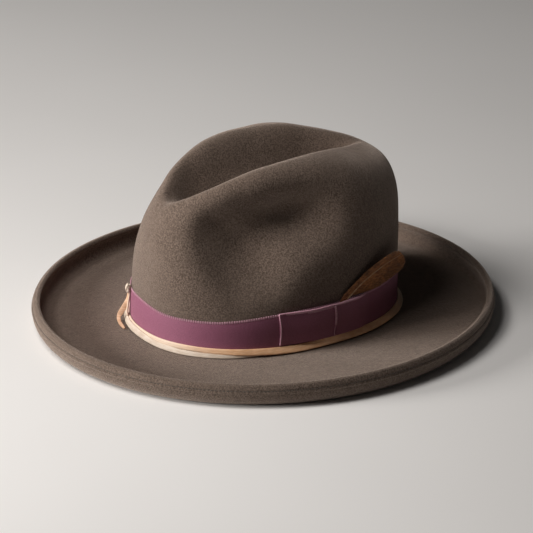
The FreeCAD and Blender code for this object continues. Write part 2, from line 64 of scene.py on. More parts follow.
# ---------------------------------------- form of the felt, as in the CAD
OVAL_LONG, OVAL_WIDE = 106.8, 81.8
OVAL_POWER, TIP_POWER = 2.3, 2.0
CROWN_FOOT, CROWN_HEIGHT, CROWN_FELT = 4.0, 138.4, 2.2
POWER_FRONT, POWER_BACK, POWER_SIDE = 3.8, 5.3, 5.8
TAPER_FRONT, TAPER_BACK, TAPER_SIDE = 0.026, -0.114, 0.086
LEAN = -1.9
FRONT_DROP, FRONT_DROP_START, FRONT_DROP_POWER, FRONT_END = 14.9, -12.4, 1.62, -85.0
BACK_DROP, BACK_DROP_START, BACK_END = 10.5, 13.6, 100.0
CREASE_DEPTH, CREASE_FRONT, CREASE_BACK = 37.2, -93.3, 93.0
CREASE_HALF_WIDTH, CREASE_SKEW, CREASE_FULLNESS = 41.6, 0.817, 0.742
DENT_DEPTH, DENT_Y, DENT_Z, DENT_TILT = 30.5, -50.4, 86.0, 0.659
DENT_AHEAD, DENT_BEHIND, DENT_ABOVE, DENT_BELOW = (30.8, 1.85), (55.1, 1.30), (39.4, 2.88), (30.8, 2.35)
HOLLOW_SHARE, HOLLOW_Y, HOLLOW_Z, HOLLOW_LONG, HOLLOW_TALL = 0.63, -5.9, 101.4, 30.1, 19.5
BRIM_FELT, BRIM_BREAK, BREAK_UNDER = 3.0, 5.0, 8.5
CURL_RADIUS, CURL_END, WELT_FELT = 10.8, radians(38.5), 4.6
STITCH_AT = radians(17.0)
TIP_PHI = radians(88.4)

RIBBON_GAP, RIBBON_THICK = 0.25, 0.7
RIBBON_FACE = RIBBON_GAP + RIBBON_THICK
POCKET = 3.0                    # how far the bow stands off the ribbon round the quill
RIBBON_DIP, DIP_MIDDLE, DIP_HALF, DIP_SOFT = 3.6, -56.0, 47.0, 36.0
BOW_FRONT, BOW_SEAM, BOW_END = -17.0, 7.5, 26.0              # degrees round the crown
BOW_GAP, END_GAP = 0.25, 0.9
KNOT_THETA = radians(250.0)
SWEAT_FACE = -CROWN_FELT - 1.0
SWEAT_THICK = 1.1


def ease(t):
    t = np.clip(t, 0.0, 1.0)
    return t * t * (3.0 - 2.0 * t)


def mix(a, b, t):
    return a + (b - a) * t


def crown(theta, phi):
    """Outside of the crown; theta goes round it and phi climbs from foot to tip."""
    front = np.clip(-np.sin(theta), 0, 1) ** 2
    back = np.clip(np.sin(theta), 0, 1) ** 2
    power = POWER_SIDE + (POWER_FRONT - POWER_SIDE) * front + (POWER_BACK - POWER_SIDE) * back
    taper = TAPER_SIDE * np.cos(theta) ** 2 + TAPER_FRONT * front + TAPER_BACK * back
    scale = (np.cos(phi) ** power + np.sin(phi) ** power) ** (-1.0 / power)
    reach, h = np.cos(phi) * scale, np.sin(phi) * scale
    reach = reach * (1.0 - taper * h)
    n = mix(OVAL_POWER, TIP_POWER, np.sin(phi))
    oval = (np.abs(np.cos(theta)) ** n + np.abs(np.sin(theta)) ** n) ** (-1.0 / n)
    x = OVAL_WIDE * np.cos(theta) * oval * reach
    y = OVAL_LONG * np.sin(theta) * oval * reach + LEAN * h
    z = CROWN_FOOT + CROWN_HEIGHT * h
    drop = np.clip((FRONT_DROP_START - y) / (FRONT_DROP_START - FRONT_END), 0, 1.3)
    rear = ease((y - BACK_DROP_START) / (BACK_END - BACK_DROP_START))
    z = z - h ** 3 * (FRONT_DROP * drop ** FRONT_DROP_POWER + BACK_DROP * rear)
    x = x - np.sign(x) * side_dent(x, y, z)
    return np.stack([x, y, z - crease(x, y, h)], -1)


def side_dent(x, y, z):
    dy, dz = y - DENT_Y, z - DENT_Z
    along = dy * cos(DENT_TILT) + dz * sin(DENT_TILT)
    across = -dy * sin(DENT_TILT) + dz * cos(DENT_TILT)
    length, end = (np.where(along < 0, a, b) for a, b in zip(DENT_AHEAD, DENT_BEHIND))
    height, lip = (np.where(across > 0, a, b) for a, b in zip(DENT_ABOVE, DENT_BELOW))
    bowl = np.exp(-np.abs(along / length) ** end - np.abs(across / height) ** lip)
    hollow = np.exp(-((y - HOLLOW_Y) / HOLLOW_LONG) ** 2 - ((z - HOLLOW_Z) / HOLLOW_TALL) ** 2)
    return DENT_DEPTH * (bowl + HOLLOW_SHARE * hollow) * ease(np.abs(x) / 30.0)


def crease(x, y, h):
    t = np.clip((y - CREASE_FRONT) / (CREASE_BACK - CREASE_FRONT), 0, 1)
    half = CREASE_HALF_WIDTH * np.clip(np.sin(pi * t ** CREASE_SKEW), 0, 1) ** CREASE_FULLNESS + 0.001
    q = np.minimum(np.abs(x) / half, 1.0)
    ends = ease(t / 0.22) * ease((1.0 - t) / 0.3)
    return CREASE_DEPTH * 0.5 * (1.0 + np.cos(pi * q)) * ends * ease((h - 0.6) / 0.3)


def crown_normal(theta, phi):
    step = 0.002
    round_it = crown(theta + step, phi) - crown(theta - step, phi)
    up_it = crown(theta, np.minimum(phi + step, 1.56)) - crown(theta, phi - step)
    return unit(np.cross(round_it, up_it))


def unit(v):
    return v / (np.linalg.norm(v, axis=-1, keepdims=True) + 1e-12)


def travel(points):
    """Distance along a path at each of its points."""
    return np.concatenate([[0.0], np.cumsum(np.linalg.norm(np.diff(points, axis=0), axis=1))])


def wall(theta, z, out):
    """Points at height z, out from the crown's wall along its level normal."""
    theta, z, out = np.broadcast_arrays(theta, np.asarray(z, float), np.asarray(out, float))
    p, ahead, behind = (wall_foot(theta + d, z) for d in (0.0, 0.01, -0.01))
    along = unit(ahead - behind)
    return np.stack([p[..., 0] + out * along[..., 1], p[..., 1] - out * along[..., 0], z], -1)


def wall_foot(theta, z):
    low = np.zeros(theta.shape)
    high = np.full(theta.shape, radians(50.0))
    for _ in range(26):
        middle = 0.5 * (low + high)
        below = crown(theta, middle)[..., 2] < z
        low = np.where(below, middle, low)
        high = np.where(below, high, middle)
    return crown(theta, low) * [1.0, 1.0, 0.0]


def even_thetas(count, start=0.0, z=20.0):
    """Angles that divide the ring at height z into equal lengths, from start on."""
    dense = np.linspace(0.0, 2.0 * pi, 2001)
    run = travel(wall(dense, z, RIBBON_FACE))
    first = np.interp(start % (2.0 * pi), dense, run)
    steps = (first + run[-1] * np.arange(count) / count) % run[-1]
    return np.interp(steps, run, dense)


def brim_ring(theta, inset, z):
    """Ring inside the brim's outline by inset."""
    nx, ny = np.cos(theta) / BRIM_WIDE, np.sin(theta) / BRIM_LONG
    size = np.hypot(nx, ny)
    x = BRIM_WIDE * np.cos(theta) - inset * nx / size
    y = BRIM_LONG * np.sin(theta) - inset * ny / size
    return np.stack([x, y, np.broadcast_to(z, x.shape)], -1)


def ripple(p, wave, amount, seed):
    """Smooth unevenness: a few long waves through space, the same on every run."""
    rng = np.random.default_rng(seed)
    total = np.zeros(p.shape[:-1])
    for _ in range(14):
        direction = unit(rng.normal(size=3))
        k = 2.0 * pi / (wave * rng.uniform(0.6, 1.6))
        total = total + np.sin(p @ direction * k + rng.uniform(0, 2 * pi))
    return amount * total / 3.7


# ---------------------------------------- mesh making
def mesh(name, points, faces, material):
    """Object from points in millimetres."""
    data = bpy.data.meshes.new(name)
    data.from_pydata((np.asarray(points) * MM).tolist(), [], faces)
    data.polygons.foreach_set("use_smooth", [True] * len(data.polygons))
    data.materials.append(material)
    data.update()
    outward = bmesh.new()
    outward.from_mesh(data)
    bmesh.ops.recalc_face_normals(outward, faces=outward.faces)
    outward.to_mesh(data)
    outward.free()
    piece = bpy.data.objects.new(name, data)
    bpy.context.scene.collection.objects.link(piece)
    return piece


def quads(rows, columns, close_rows=False, close_columns=False, first=0):
    """Faces over a grid of points stored row by row."""
    r = np.arange(rows if close_rows else rows - 1)
    c = np.arange(columns if close_columns else columns - 1)
    a, b = np.meshgrid(r, c, indexing="ij")
    up, on = (a + 1) % rows, (b + 1) % columns
    grid = np.stack([a * columns + b, a * columns + on, up * columns + on, up * columns + b], -1)
    return (grid.reshape(-1, 4) + first).tolist()


class Pile:
    """Collects grids of points into one mesh; each row of a grid is a closed ring."""

    def __init__(self):
        self.points, self.faces, self.count = [], [], 0

    def add(self, grid, faces):
        self.points.append(grid.reshape(-1, 3))
        self.faces += faces
        self.count += grid.shape[0] * grid.shape[1]
        return self

    def hoop(self, grid):
        """The last ring joins the first."""
        return self.add(grid, quads(*grid.shape[:2], True, True, self.count))

    def rod(self, grid):
        """The first and the last ring are filled."""
        rows, columns = grid.shape[:2]
        first, last = self.count, self.count + (rows - 1) * columns
        ends = [list(range(first, first + columns))[::-1], list(range(last, last + columns))]
        return self.add(grid, quads(rows, columns, False, True, first) + ends)

    def build(self, name, material):
        return mesh(name, np.concatenate(self.points), self.faces, material)


def frames_along(path, out_hint):
    """Unit vectors along a path, out from it near out_hint, and across it."""
    along = unit(np.gradient(path, axis=0))
    out = unit(out_hint - (out_hint * along).sum(-1, keepdims=True) * along)
    return along, out, np.cross(along, out)


def tube(path, radius, sides=8, hint=(0.0, 0.0, 1.0), flat=1.0):
    """Grid of points round a path; radius may change along it, flat squeezes it across."""
    _, out, across = frames_along(path, np.broadcast_to(np.asarray(hint, float), path.shape))
    a = np.linspace(0.0, 2.0 * pi, sides, endpoint=False)
    radius = np.broadcast_to(np.asarray(radius, float), (len(path),))[:, None, None]
    ring = np.cos(a)[None, :, None] * out[:, None] * flat + np.sin(a)[None, :, None] * across[:, None]
    return path[:, None] + ring * radius


def section(width, thick, corner, around=3):
    """Rounded rectangle: list of (across, out) points."""
    points = []
    for sx, sy, start in ((1, 1, 0.0), (-1, 1, 0.5 * pi), (-1, -1, pi), (1, -1, 1.5 * pi)):
        for a in np.linspace(start, start + 0.5 * pi, around):
            points.append((sx * (0.5 * width - corner) + corner * cos(a),
                           sy * (0.5 * thick - corner) + corner * sin(a)))
    return np.array(points)


def finish_piece(piece, body, slot, *nodes):
    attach(piece, body)
    if nodes:
        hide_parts(*nodes)
    return piece


# ---------------------------------------- materials
class Finish:
    """A node material: constants go straight on the shader, and patterns are wired to colour and bump."""

    def __init__(self, name, roughness, **shader):
        self.material = bpy.data.materials.new(name)
        self.material.use_nodes = True
        self.nodes, self.links = self.material.node_tree.nodes, self.material.node_tree.links
        self.shader = self.nodes["Principled BSDF"]
        self.shader.inputs["Roughness"].default_value = roughness
        for socket, value in shader.items():
            self.shader.inputs[socket.replace("_", " ")].default_value = value
        self.where = self.nodes.new("ShaderNodeTexCoord").outputs["Object"]

    def texture(self, kind, size, stretch):
        """Texture node with spots about size millimetres, drawn out along any axis by stretch."""
        mapping = self.nodes.new("ShaderNodeMapping")
        mapping.inputs["Scale"].default_value = [1.0 / (size * MM * k) for k in stretch]
        self.links.new(self.where, mapping.inputs["Vector"])
        texture = self.nodes.new(kind)
        texture.inputs["Scale"].default_value = 1.0
        self.links.new(mapping.outputs["Vector"], texture.inputs["Vector"])
        return texture

    def noise(self, size, detail=3.0, stretch=(1.0, 1.0, 1.0), rough=0.55):
        noise = self.texture("ShaderNodeTexNoise", size, stretch)
        noise.inputs["Detail"].default_value = detail
        noise.inputs["Roughness"].default_value = rough
        return noise.outputs["Fac"]

    def cells(self, size):
        return self.texture("ShaderNodeTexVoronoi", size, (1.0, 1.0, 1.0)).outputs["Distance"]

    def spread(self, value, low, high, to_low=0.0, to_high=1.0):
        node = self.nodes.new("ShaderNodeMapRange")
        node.interpolation_type = "SMOOTHSTEP"
        ends = {"From Min": low, "From Max": high, "To Min": to_low, "To Max": to_high}
        for socket, number in ends.items():
            node.inputs[socket].default_value = number
        self.links.new(value, node.inputs["Value"])
        return node.outputs["Result"]

    def along(self, axis, low, high):
        """0 to 1 between two places along an axis, in millimetres."""
        parts = self.nodes.new("ShaderNodeSeparateXYZ")
        self.links.new(self.where, parts.inputs["Vector"])
        return self.spread(parts.outputs[axis], low * MM, high * MM)

    def math(self, operation, a, b):
        node = self.nodes.new("ShaderNodeMath")
        node.operation = operation
        for socket, value in zip(node.inputs, (a, b)):
            if isinstance(value, (int, float)):
                socket.default_value = value
            else:
                self.links.new(value, socket)
        return node.outputs["Value"]

    def blend(self, share, a, b, mode="MIX"):
        node = self.nodes.new("ShaderNodeMix")
        node.data_type = "RGBA"
        node.blend_type = mode
        sockets = [i for i in node.inputs if i.type == "RGBA"]
        if isinstance(share, (int, float)):
            node.inputs["Factor"].default_value = share
        else:
            self.links.new(share, node.inputs["Factor"])
        for socket, value in zip(sockets, (a, b)):
            if isinstance(value, tuple):
                socket.default_value = (*value, 1.0)
            else:
                self.links.new(value, socket)
        return [o for o in node.outputs if o.type == "RGBA"][0]

    def colour(self, value):
        self.links.new(value, self.shader.inputs["Base Color"])
        return self

    def bump(self, *layers):
        """Layers are (pattern, depth in millimetres)."""
        normal = None
        for pattern, depth in layers:
            node = self.nodes.new("ShaderNodeBump")
            node.inputs["Strength"].default_value = 1.0
            node.inputs["Distance"].default_value = depth * MM
            self.links.new(pattern, node.inputs["Height"])
            if normal is not None:
                self.links.new(normal, node.inputs["Normal"])
            normal = node.outputs["Normal"]
        self.links.new(normal, self.shader.inputs["Normal"])
        return self


def felt_finish():
    """Taupe fur felt: a brushed nap of short hairs in several shades, the tips of some catching the light."""
    f = Finish("felt", 0.95, Sheen_Weight=0.62, Sheen_Roughness=0.45, Sheen_Tint=(0.95, 0.80, 0.70, 1.0),
               Specular_IOR_Level=0.10)
    grain, hairs = f.noise(1.2, 2.0, rough=0.7), f.noise(0.8, 3.0, rough=0.8)
    tufts, clouds = f.noise(7.0, 2.0), f.noise(45.0, 2.0)
    base = f.blend(f.spread(grain, 0.38, 0.62), (0.066, 0.047, 0.036), (0.178, 0.132, 0.106))
    base = f.blend(f.spread(hairs, 0.52, 0.72, 0.0, 0.75), base, (0.350, 0.270, 0.222))
    base = f.blend(f.spread(hairs, 0.28, 0.46, 0.6, 0.0), base, (0.056, 0.040, 0.031))
    base = f.blend(f.spread(tufts, 0.3, 0.75, 0.0, 0.35), base, (0.120, 0.088, 0.070))
    base = f.blend(f.spread(clouds, 0.35, 0.7, 0.0, 0.22), base, (0.176, 0.132, 0.106))
    return f.colour(base).bump((hairs, 0.40), (grain, 0.35), (tufts, 0.3)).material


def thread_finish(name, dark, light):
    f = Finish(name, 0.75, Sheen_Weight=0.15, Specular_IOR_Level=0.3)
    twist = f.noise(0.5, 2.0)
    return f.colour(f.blend(f.spread(twist, 0.3, 0.7), dark, light)).bump((twist, 0.1)).material


def ribbon_finish():
    """Plum grosgrain: silky on the ribs, with a fine cross weave."""
    f = Finish("ribbon", 0.50, Sheen_Weight=0.30, Sheen_Roughness=0.35, Sheen_Tint=(0.95, 0.62, 0.76, 1.0),
               Specular_IOR_Level=0.4)
    weave, clouds = f.noise(0.45, 2.0, (1.0, 1.0, 0.6)), f.noise(9.0, 2.0)
    base = f.blend(f.spread(weave, 0.3, 0.7), (0.215, 0.068, 0.120), (0.365, 0.134, 0.210))
    base = f.blend(f.spread(clouds, 0.35, 0.75, 0.0, 0.25), base, (0.275, 0.090, 0.150))
    return f.colour(base).bump((weave, 0.12)).material


def lace_finish(name, dark, middle, light, streak, pale=None):
    """Undyed leather lace: smooth face with streaks along it; given pale, it turns paler towards low X."""
    f = Finish(name, 0.62, Specular_IOR_Level=0.35)
    run, pores, patches = f.noise(7.0, 3.0, (1.0, 1.0, streak)), f.noise(0.5, 2.0), f.noise(14.0, 2.0)
    base = f.blend(f.spread(run, 0.34, 0.66), middle, light)
    base = f.blend(f.spread(patches, 0.4, 0.8, 0.0, 0.5), base, dark)
    base = f.blend(f.spread(pores, 0.55, 0.8, 0.0, 0.35), base, dark)
    if pale:
        # paler where X is below 30 mm, back to the base colour by X = 76 mm
        paler_at_low_x = f.math("MULTIPLY", f.along("X", 76.0, 30.0), 0.88)
        base = f.blend(paler_at_low_x, base, pale)
    return f.colour(base).bump((pores, 0.08), (run, 0.25)).material


def leather_finish():
    """Sweatband roan: fine grain, slightly waxy."""
    f = Finish("sweat_leather", 0.48, Specular_IOR_Level=0.45, Coat_Weight=0.08, Coat_Roughness=0.35)
    grain, creases, clouds = f.cells(0.9), f.noise(3.5, 4.0), f.noise(30.0, 2.0)
    base = f.blend(f.spread(clouds, 0.3, 0.7), (0.105, 0.048, 0.022), (0.175, 0.088, 0.043))
    base = f.blend(f.spread(grain, 0.25, 0.6, 0.0, 0.4), base, (0.075, 0.034, 0.016))
    return f.colour(base).bump((grain, 0.12), (creases, 0.1)).material


def lining_finish():
    """Satin: a glossy face with fine threads round the crown."""
    f = Finish("lining", 0.3, Sheen_Weight=0.1, Specular_IOR_Level=0.6, Anisotropic=0.5)
    threads, clouds = f.noise(0.4, 2.0, (6.0, 6.0, 1.0)), f.noise(22.0, 2.0)
    base = f.blend(f.spread(threads, 0.3, 0.7), (0.155, 0.125, 0.098), (0.235, 0.195, 0.158))
    base = f.blend(f.spread(clouds, 0.35, 0.7, 0.0, 0.2), base, (0.19, 0.155, 0.12))
    return f.colour(base).bump((threads, 0.06)).material


def feather_finish():
    """Brown vane: barbs in two shades, with faint darker bars across."""
    f = Finish("feather", 0.6, Sheen_Weight=0.3, Sheen_Roughness=0.3, Sheen_Tint=(1.0, 0.75, 0.5, 1.0),
               Specular_IOR_Level=0.4)
    barbs, bars = f.noise(1.1, 2.0, (1.0, 2.5, 1.0)), f.noise(8.0, 2.0)
    base = f.blend(f.spread(barbs, 0.3, 0.7), (0.195, 0.068, 0.021), (0.500, 0.208, 0.072))
    base = f.blend(f.spread(bars, 0.4, 0.75, 0.0, 0.6), base, (0.085, 0.036, 0.015))
    return f.colour(base).bump((barbs, 0.06)).material


def plain_finish(name, roughness, dark, light, size, depth, stretch=(1.0, 1.0, 1.0), **shader):
    f = Finish(name, roughness, **shader)
    pattern = f.noise(size, 3.0, stretch)
    return f.colour(f.blend(f.spread(pattern, 0.3, 0.7), dark, light)).bump((pattern, depth)).material


FELT = felt_finish()
WELT_THREAD = thread_finish("welt_thread", (0.060, 0.046, 0.036), (0.135, 0.106, 0.086))
RIBBON = ribbon_finish()
RIBBON_THREAD = thread_finish("ribbon_thread", (0.420, 0.190, 0.270), (0.720, 0.430, 0.510))
LACE_TAN = lace_finish("lace_tan", (0.420, 0.225, 0.120), (0.640, 0.380, 0.235), (0.800, 0.530, 0.360), 0.12)
LACE_UPPER = lace_finish("lace_tan_turn", (0.600, 0.320, 0.160), (0.860, 0.490, 0.265), (0.950, 0.610, 0.370),
                         0.12, (0.780, 0.640, 0.520))
LACE_CREAM = lace_finish("lace_cream", (0.470, 0.335, 0.240), (0.620, 0.505, 0.400), (0.710, 0.615, 0.520),
                         0.12)
LEATHER = leather_finish()
LINING = lining_finish()
FEATHER = feather_finish()
QUILL = plain_finish("quill", 0.4, (0.46, 0.25, 0.13), (0.66, 0.44, 0.28), 3.0, 0.05, Specular_IOR_Level=0.5)
REED = plain_finish("reed", 0.35, (0.52, 0.42, 0.28), (0.68, 0.58, 0.42), 4.0, 0.03)
TAPE = plain_finish("tape", 0.8, (0.055, 0.045, 0.038), (0.105, 0.088, 0.075), 0.6, 0.1)
TAB = plain_finish("tab", 0.7, (0.62, 0.58, 0.50), (0.78, 0.74, 0.66), 0.5, 0.08)


# ---------------------------------------- camera
# metres: how far away, and where the middle of the view lies from the world's origin
AZIMUTH, RISE, AWAY = radians(60.0), radians(23.3), 2.5
AIM_RIGHT, AIM_UP = 0.0020, 0.0353
LENS, SENSOR = 214.4, 36.0
right = Vector((cos(AZIMUTH), sin(AZIMUTH), 0.0))
back = Vector((sin(AZIMUTH) * cos(RISE), -cos(AZIMUTH) * cos(RISE), sin(RISE)))
up = back.cross(right)
camera = bpy.data.objects.new("camera", bpy.data.cameras.new("camera"))
turned = Matrix((right, up, back)).transposed().to_4x4()
camera.matrix_world = Matrix.Translation(back * AWAY + right * AIM_RIGHT + up * AIM_UP) @ turned
camera.data.sensor_width = SENSOR
camera.data.lens = LENS
bpy.context.scene.collection.objects.link(camera)
bpy.context.scene.camera = camera


# ---------------------------------------- loose end of the lace
TAIL_ROUTE = [(-0.0313, -0.1035, 0.0274), (-0.0314, -0.1040, 0.0224), (-0.0322, -0.1055, 0.0176),
              (-0.0336, -0.1080, 0.0124), (-0.0352, -0.1106, 0.0070), (-0.0316, -0.1120, 0.0044),
              (-0.0254, -0.1133, 0.0040), (-0.0180, -0.1144, 0.0040)]
# place along the loose end (0 to 1) and its width there
TAIL_WIDTHS = np.array([(0.0, 2.2), (0.12, 3.0), (0.3, 4.0), (0.5, 4.2), (0.6, 3.2), (0.8, 2.7), (0.94, 2.5),
                        (1.0, 1.3)])
TAIL_THICK = 1.2


def spline_points(route, resolution):
    """Points along the route's own smooth curve."""
    data = bpy.data.curves.new("route", "CURVE")
    data.dimensions = "3D"
    spline = data.splines.new("NURBS")
    spline.points.add(len(route) - 1)
    for point, place in zip(spline.points, route):
        point.co = (*place, 1.0)
    spline.order_u = 3
    spline.use_endpoint_u = True
    spline.resolution_u = resolution
    holder = bpy.data.objects.new("route", data)
    line = bpy.data.meshes.new_from_object(holder)
    points = np.array([v.co[:] for v in line.vertices])
    bpy.data.objects.remove(holder)
    return points


def strap(path, out_hint, wide, thick, corner=0.35):
    """Flat strap along a path: (points, section) grid; wide and thick may change along it."""
    _, out, across = frames_along(path, out_hint)
    wide = np.broadcast_to(np.asarray(wide, float), (len(path),))
    thick = np.broadcast_to(np.asarray(thick, float), (len(path),))
    rows = []
    for p, o, a, w, t in zip(path, out, across, wide, thick):
        shape = section(w, t, min(corner, 0.45 * min(w, t)))
        rows.append(p + shape[:, :1] * a + shape[:, 1:] * o)
    return np.array(rows)


tail_line = spline_points(TAIL_ROUTE, 14)
tail_mm = tail_line / MM
run = np.linspace(0.0, 1.0, len(tail_mm))[:, None]
wall_side = unit(tail_mm[0] * [1.0, 1.0, 0.0])
tail_face = unit(mix(wall_side, np.array([0.85, -0.45, 0.25]), 0.9 * ease(run / 0.3)))
tail_out = unit(mix(tail_face, np.array([0.15, -0.35, 1.0]), ease((run - 0.48) / 0.16)))
tail_width = np.interp(run[:, 0], *TAIL_WIDTHS.T)
tail_pile = Pile().rod(strap(tail_mm, tail_out, tail_width, TAIL_THICK))
tail = finish_piece(tail_pile.build("lace_tail_strap", LACE_TAN), "hat", "lace_tan", "lace_tail")


# ---------------------------------------- felt body
COLUMNS = 300
CROWN_ROWS, BREAK_ROWS, BRIM_ROWS, CURL_ROWS, EDGE_ROWS, INSIDE_ROWS = 112, 11, 28, 22, 12, 52
UNEVEN, CROWN_WAVE, BRIM_WAVE = 0.22, 38.0, 55.0
WELT_STEP, CHANNEL_DEPTH, CHANNEL_HALF = 0.5, 0.55, 0.75
theta = np.linspace(0.0, 2.0 * pi, COLUMNS, endpoint=False)


def curl_ring(angle, radius):
    return brim_ring(theta, CURL_RADIUS - radius * np.cos(angle), CURL_RADIUS + radius * np.sin(angle))


def curl_surface(angle):
    """Outside radius of the curl: folded layer above, its cut edge, and the channel the stitches pull in."""
    fold = WELT_STEP * ease((angle - radians(3.0)) / radians(4.0))
    channel = CHANNEL_DEPTH * np.exp(-((angle - STITCH_AT) * CURL_RADIUS / CHANNEL_HALF) ** 2)
    return CURL_RADIUS - 0.1 + fold - channel


def felt_rows():
    """Rings of points from the tip, over the outside, round the curl and back up the inside."""
    rows = []
    tip = crown(theta, np.full(COLUMNS, TIP_PHI))
    tip[:, 2] = tip[:, 2].mean()
    rows.append(tip)
    for phi in np.radians(np.linspace(87.3, 2.6, CROWN_ROWS)):
        p = crown(theta, np.full(COLUMNS, phi))
        uneven = ripple(p, CROWN_WAVE, UNEVEN, 3) * ease((88.0 - degrees(phi)) / 6.0)
        rows.append(p + uneven[:, None] * crown_normal(theta, np.full(COLUMNS, phi)))
    top = BRIM_FELT + BRIM_BREAK
    for a in np.linspace(0.0, 0.5 * pi, BREAK_ROWS):
        ring = wall(theta, top, BRIM_BREAK * (1.0 - cos(a)))
        ring[:, 2] = top - BRIM_BREAK * sin(a)
        rows.append(ring)
    start, end = rows[-1], brim_ring(theta, CURL_RADIUS, BRIM_FELT)
    for t in np.linspace(0.0, 1.0, BRIM_ROWS)[1:-1]:
        ring = mix(start, end, t)
        ring[:, 2] += ripple(ring, BRIM_WAVE, UNEVEN, 5) * sin(pi * t)
        rows.append(ring)
    for angle in np.radians(np.linspace(-90.0, degrees(CURL_END), CURL_ROWS)):
        layer = mix(BRIM_FELT, WELT_FELT, ease((angle + radians(70.0)) / radians(70.0)))
        rows.append(curl_ring(angle, CURL_RADIUS - layer))
    middle, half = CURL_RADIUS - 0.5 * WELT_FELT, 0.5 * WELT_FELT
    for beta in np.radians(np.linspace(15.0, 165.0, EDGE_ROWS)):
        radial, ahead = middle - half * cos(beta), half * sin(beta)
        inset = CURL_RADIUS - radial * cos(CURL_END) + ahead * sin(CURL_END)
        rows.append(brim_ring(theta, inset, CURL_RADIUS + radial * sin(CURL_END) + ahead * cos(CURL_END)))
    for angle in np.radians(np.concatenate([np.linspace(38.5, 2.0, 30), np.linspace(0.0, -90.0, 15)])):
        rows.append(curl_ring(angle, curl_surface(angle) if angle > radians(-60.0) else CURL_RADIUS))
    outer = rows[-1]
    outer[:, 2] = 0.0
    under = wall(theta, top, BRIM_BREAK)
    under[:, 2] = 0.0
    for t in np.linspace(0.0, 1.0, 18)[1:-1]:
        rows.append(mix(outer, under, t))
    for a in np.linspace(0.5 * pi, 0.0, 9):
        ring = wall(theta, BREAK_UNDER, BRIM_BREAK - (BRIM_BREAK + CROWN_FELT) * cos(a))
        ring[:, 2] = BREAK_UNDER * (1.0 - sin(a))
        rows.append(ring)
    for phi in np.radians(np.linspace(5.5, 86.5, INSIDE_ROWS)):
        phis = np.full(COLUMNS, phi)
        rows.append(crown(theta, phis) - CROWN_FELT * crown_normal(theta, phis))
    last = tip.copy()
    last[:, 2] -= CROWN_FELT
    rows.append(last)
    return np.array(rows)


finish_piece(Pile().rod(felt_rows()).build("felt", FELT), "hat", "felt", "felt_body")


# ---------------------------------------- stitches in the folded edge
def stitches(pile, place, count, long, radius, dip):
    """Short threads along a closed line: place(turn, out) is a point of it at turn of the way round."""
    for i in range(count):
        turns = (i + 0.5 + np.array([-0.5, -0.38, -0.2, 0.0, 0.2, 0.38, 0.5]) * long) / count
        sink = dip * np.array([1.0, 0.45, 0.1, 0.0, 0.1, 0.45, 1.0])
        path = place(turns, -sink)
        middle = path.mean(axis=0) * [1.0, 1.0, 0.0]
        thick = radius * np.array([0.45, 0.9, 1.0, 1.0, 1.0, 0.9, 0.45])
        pile.rod(tube(path, thick, 6, unit(middle)))


WELT_STITCHES, WELT_SHARE, WELT_RADIUS, WELT_DIP = 376, 0.74, 0.36, 0.5
brim_theta = np.linspace(0.0, 2.0 * pi, 3001)
brim_run = travel(brim_ring(brim_theta, 0.0, 0.0))


def welt_place(turns, out):
    angle = np.interp((turns % 1.0) * brim_run[-1], brim_run, brim_theta)
    radius = curl_surface(STITCH_AT) + 0.22 + out
    inset, z = CURL_RADIUS - radius * cos(STITCH_AT), CURL_RADIUS + radius * sin(STITCH_AT)
    return brim_ring(angle, inset, z)


welt_pile = Pile()
stitches(welt_pile, welt_place, WELT_STITCHES, WELT_SHARE, WELT_RADIUS, WELT_DIP)
finish_piece(welt_pile.build("welt_stitches", WELT_THREAD), "hat", "welt_thread", "welt_thread")


# ---------------------------------------- ribbon, bow and their edges
RIB_PITCH, RIB_HEIGHT, RIB_STEPS = 1.0, 0.07, 5
FRONT_DIP = 2.2                 # how far the top edge comes down at the knot
BOW_LOWER = 1.9                 # the bow's soft foot hangs to the top of the lace


def ribs(count):
    """Height of the ribs at RIB_STEPS places along each."""
    t = (np.arange(count * RIB_STEPS) % RIB_STEPS) / RIB_STEPS
    return RIB_HEIGHT * np.sqrt(np.clip(np.sin(pi * t), 0.0, 1.0))


def ribbon_section(foot, top, inner, thick):
    """(z, out, share of the ribs) round a ribbon's section, its woven edges flat."""
    outer = [(foot, 0.2, 0.0), (foot + 0.2, 0.85, 0.0), (foot + 0.5, 1.0, 0.0), (foot + 0.9, 0.95, 0.5)]
    outer += [(z, 0.95, 1.0) for z in np.linspace(foot + 1.4, top - 1.4, 7)]
    outer += [(top - 0.9, 0.95, 0.5), (top - 0.5, 1.0, 0.0), (top - 0.2, 0.85, 0.0), (top, 0.2, 0.0)]
    return [(z, inner + o * thick, r) for z, o, r in outer] + [(top, inner, 0.0), (foot, inner, 0.0)]


def ribbon_top(theta):
    """Height of the ribbon's top edge: it comes down a little at the knot and at the wearer's front left."""
    away = (np.degrees(theta) - DIP_MIDDLE + 180.0) % 360.0 - 180.0
    front = FRONT_DIP * window(np.degrees(theta), -136.0, -100.0, 40.0)
    return RIBBON_TOP - front - RIBBON_DIP * ease((DIP_HALF - np.abs(away)) / DIP_SOFT)


def ribbon_foot(theta):
    """Height of its lower edge, which follows the lace down on the wearer's left."""
    return RIBBON_FOOT - 1.0 * window(np.degrees(theta), -30.0, 110.0, 40.0)


def window(degrees_round, first, last, soft):
    """1 between two angles, easing to 0 over soft degrees on each side."""
    d = (degrees_round - 0.5 * (first + last) + 180.0) % 360.0 - 180.0
    return ease((0.5 * (last - first) + 0.5 * soft - np.abs(d)) / soft)


def ring_length(z, out):
    ring = wall(np.linspace(0.0, 2.0 * pi, 721), z, out)
    return float(np.linalg.norm(np.diff(ring, axis=0), axis=1).sum())


